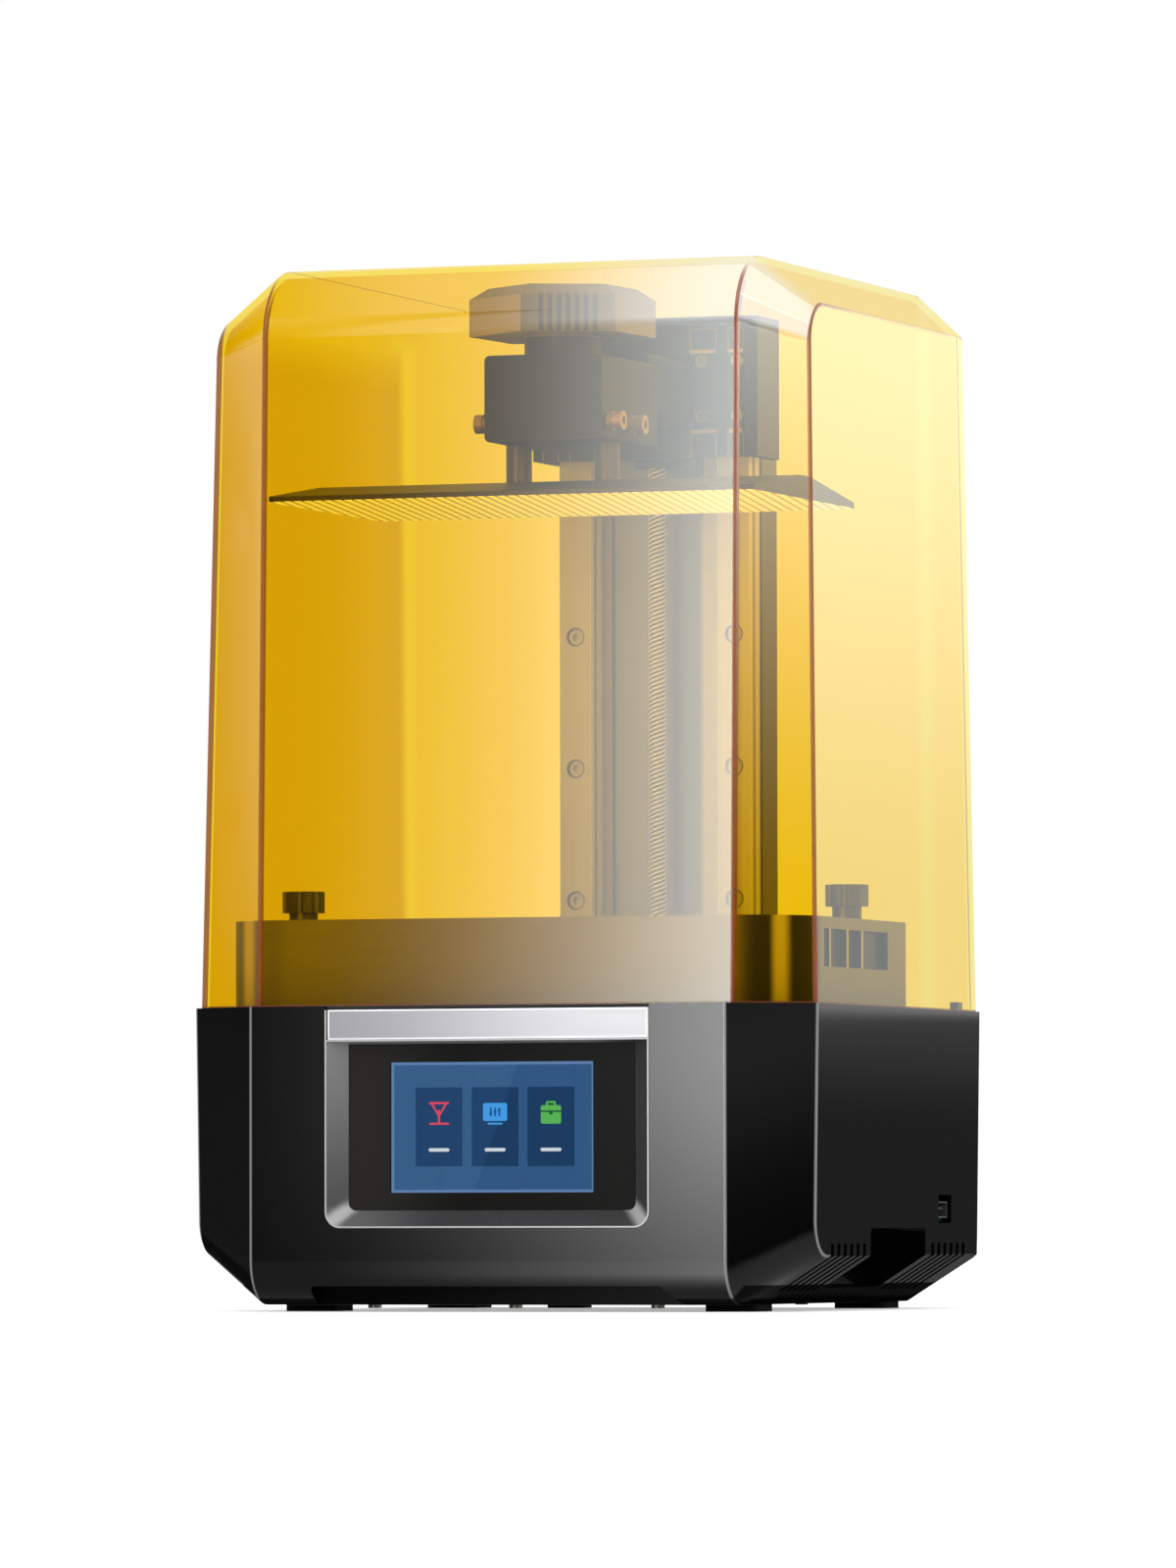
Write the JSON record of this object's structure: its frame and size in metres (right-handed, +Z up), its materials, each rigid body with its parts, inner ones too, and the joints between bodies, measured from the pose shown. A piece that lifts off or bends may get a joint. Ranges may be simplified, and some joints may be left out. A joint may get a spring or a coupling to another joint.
{
  "type": "resin 3-D printer",
  "caption": "Desktop resin printer: bevelled black base with a touch screen, amber lift-off cover, resin vat, and a build plate on a screw-driven column.",
  "frame": {"origin": "on the table under the middle of the base's width and depth", "axes": "+Z up, -Y towards the screen at the front, +X to the right as seen from the front"},
  "size_m": [0.29, 0.27, 0.46],
  "materials": {
    "base_plastic": "fine-grained black moulding",
    "sheet_black": "black powder coat",
    "foot_rubber": "matt",
    "screw_steel": "machined",
    "bezel_plastic": "satin grey",
    "trim_metal": "brushed",
    "touch_glass": "black-backed glass",
    "display_face": "lit panel",
    "circuit_board": "solder mask",
    "exposure_panel": "dark polarised panel",
    "screen_glass": "clear",
    "light_box_metal": "satin",
    "lens_clear": "clear",
    "sink_metal": "extruded",
    "fan_plastic": "moulded",
    "nut_brass": "machined",
    "socket_steel": "plated",
    "connector_plastic": "moulded",
    "rocker_plastic": "moulded",
    "motor_metal": "satin black",
    "shaft_steel": "ground",
    "coupling_metal": "machined",
    "column_metal": "anodised",
    "rail_steel": "ground",
    "carriage_metal": "satin",
    "arm_metal": "anodised",
    "post_steel": "turned",
    "knob_plastic": "moulded",
    "plate_metal": "finely textured underside",
    "vat_metal": "dark anodised",
    "film_clear": "clear film",
    "film_frame_metal": "plain",
    "thumb_metal": "dark anodised",
    "cover_amber": "clear amber"
  },
  "bodies": {
    "base": {"base_screws": "screw_steel", "base_shell": "base_plastic", "board_standoffs": "nut_brass", "bottom_plate": "sheet_black", "column": "column_metal", "cover_locators": "base_plastic", "dc_inlet": "connector_plastic", "deck_plate": "sheet_black", "display": "display_face", "display_board": "circuit_board", "fan_frame": "fan_plastic", "fan_screws": "screw_steel", "feet": "foot_rubber", "film_frame": "film_frame_metal", "film_screws": "screw_steel", "front_bezel": "bezel_plastic", "guide_rails": "rail_steel", "heat_sink": "sink_metal", "inlet_pin": "nut_brass", "lcd_panel": "exposure_panel", "led_board": "circuit_board", "light_box": "light_box_metal", "light_lens": "lens_clear", "limit_switch": "connector_plastic", "mainboard": "circuit_board", "motor_bracket": "sheet_black", "rail_screws": "screw_steel", "rear_panel": "sheet_black", "screen_glass": "screen_glass", "switch_body": "connector_plastic", "touch_glass": "touch_glass", "trim_strip": "trim_metal", "usb_board": "circuit_board", "usb_socket": "socket_steel", "vat_body": "vat_metal", "vat_film": "film_clear", "z_motor": "motor_metal"},
    "cover": {"cover": "cover_amber"},
    "carriage": {"rail_sliders": "rail_steel", "carriage": "carriage_metal", "carriage_screws": "screw_steel", "drive_nut": "nut_brass", "limit_flag": "carriage_metal", "plate_arm": "arm_metal", "plate_bracket": "arm_metal", "levelling_screws": "screw_steel", "plate_posts": "post_steel", "build_plate": "plate_metal"},
    "lead_screw": {"lead_screw": "shaft_steel", "shaft_coupling": "coupling_metal", "motor_shaft": "shaft_steel"},
    "knob": {"clamp_knob": "knob_plastic"},
    "thumb_left": {"thumb_screw_left": "thumb_metal"},
    "thumb_right": {"thumb_screw_right": "thumb_metal"},
    "rocker": {"switch_rocker": "rocker_plastic"},
    "fan": {"fan_rotor": "fan_plastic"}
  },
  "joints": [
    {"name": "cover_lift", "type": "slide", "parent": "base", "child": "cover", "axis": [0, 0, 1], "range_m": [0, 0.36]},
    {"name": "z_axis", "type": "slide", "parent": "base", "child": "carriage", "axis": [0, 0, 1], "range_m": [-0.2201, 0]},
    {"name": "lead_screw_spin", "type": "hinge", "parent": "base", "child": "lead_screw", "pos_m": [0, 0.087, 0.2], "axis": [0, 0, 1], "continuous": true},
    {"name": "knob_turn", "type": "hinge", "parent": "carriage", "child": "knob", "pos_m": [0, -0.0365, 0.44], "axis": [0, 0, 1], "range_deg": [0, 720]},
    {"name": "thumb_turn_left", "type": "hinge", "parent": "base", "child": "thumb_left", "pos_m": [-0.1285, -0.025, 0.18], "axis": [0, 0, 1], "range_deg": [0, 1080]},
    {"name": "thumb_turn_right", "type": "hinge", "parent": "base", "child": "thumb_right", "pos_m": [0.1285, -0.025, 0.18], "axis": [0, 0, 1], "range_deg": [0, 1080]},
    {"name": "power_rocker", "type": "hinge", "parent": "base", "child": "rocker", "pos_m": [0.086, 0.1315, 0.0695], "axis": [1, 0, 0], "range_deg": [0, 19]},
    {"name": "fan_spin", "type": "hinge", "parent": "base", "child": "fan", "pos_m": [-0.065, 0.117, 0.076], "axis": [0, 1, 0], "continuous": true}
  ],
  "couplings": [
    {"joint": "lead_screw_spin", "follows": "z_axis", "rad_per_m": -785.4}
  ]
}
